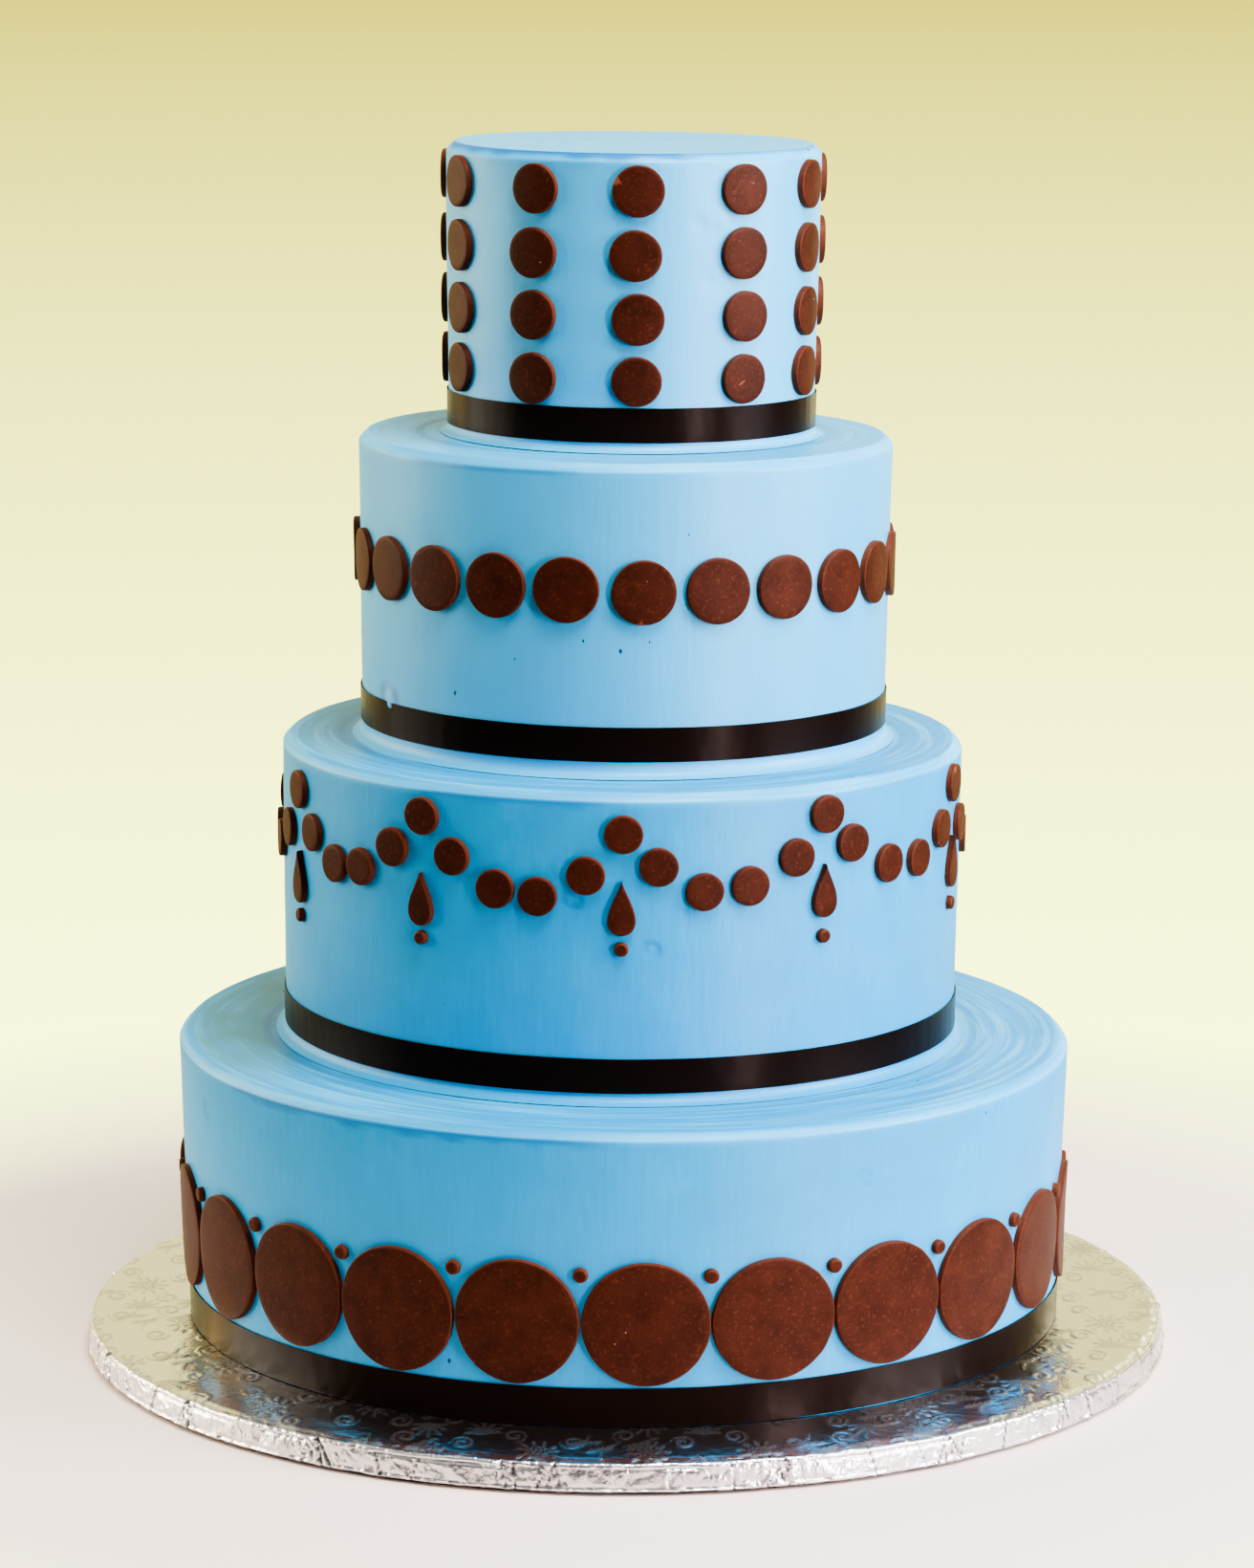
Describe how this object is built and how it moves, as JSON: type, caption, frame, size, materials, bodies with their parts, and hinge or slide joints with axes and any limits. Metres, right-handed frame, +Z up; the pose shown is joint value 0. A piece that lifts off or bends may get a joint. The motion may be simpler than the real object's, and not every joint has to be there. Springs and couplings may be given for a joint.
{
  "type": "wedding cake",
  "caption": "Tall round tiered cake in smooth blue icing, with satin ribbon round each foot, chocolate discs and drops on the walls, on a silver foil drum board.",
  "frame": {"origin": "centre of the board's underside, on the surface that the cake stands on", "axes": "+Z up, -Y towards the viewer of the picture, +X to the viewer's right"},
  "size_m": [0.5116, 0.5116, 0.5661],
  "materials": {
    "blue_icing": "smoothed sky-blue buttercream, satin, with spatula streaks",
    "chocolate": "rolled dark modelling chocolate, matt with a soft sheen",
    "satin_ribbon": "dark brown satin ribbon",
    "silver_foil": "embossed silver foil over board, creased at the edge"
  },
  "bodies": {
    "root": {"board": "silver_foil", "bottom_tier": "blue_icing", "third_tier": "blue_icing", "second_tier": "blue_icing", "top_tier": "blue_icing", "bottom_ribbon": "satin_ribbon", "third_ribbon": "satin_ribbon", "second_ribbon": "satin_ribbon", "top_ribbon": "satin_ribbon", "big_disc_01": "chocolate", "big_disc_02": "chocolate", "big_disc_03": "chocolate", "big_disc_04": "chocolate", "big_disc_05": "chocolate", "big_disc_06": "chocolate", "big_disc_07": "chocolate", "big_disc_08": "chocolate", "big_disc_09": "chocolate", "big_disc_10": "chocolate", "big_disc_11": "chocolate", "big_disc_12": "chocolate", "big_disc_13": "chocolate", "big_disc_14": "chocolate", "big_disc_15": "chocolate", "big_disc_16": "chocolate", "big_disc_17": "chocolate", "big_disc_18": "chocolate", "big_disc_19": "chocolate", "big_disc_20": "chocolate", "big_disc_21": "chocolate", "big_disc_22": "chocolate", "middle_disc_01": "chocolate", "middle_disc_02": "chocolate", "middle_disc_03": "chocolate", "middle_disc_04": "chocolate", "middle_disc_05": "chocolate", "middle_disc_06": "chocolate", "middle_disc_07": "chocolate", "middle_disc_08": "chocolate", "middle_disc_09": "chocolate", "middle_disc_10": "chocolate", "middle_disc_11": "chocolate", "middle_disc_12": "chocolate", "middle_disc_13": "chocolate", "middle_disc_14": "chocolate", "middle_disc_15": "chocolate", "middle_disc_16": "chocolate", "middle_disc_17": "chocolate", "middle_disc_18": "chocolate", "middle_disc_19": "chocolate", "middle_disc_20": "chocolate", "middle_disc_21": "chocolate", "middle_disc_22": "chocolate", "middle_disc_23": "chocolate"}
  },
  "joints": []
}
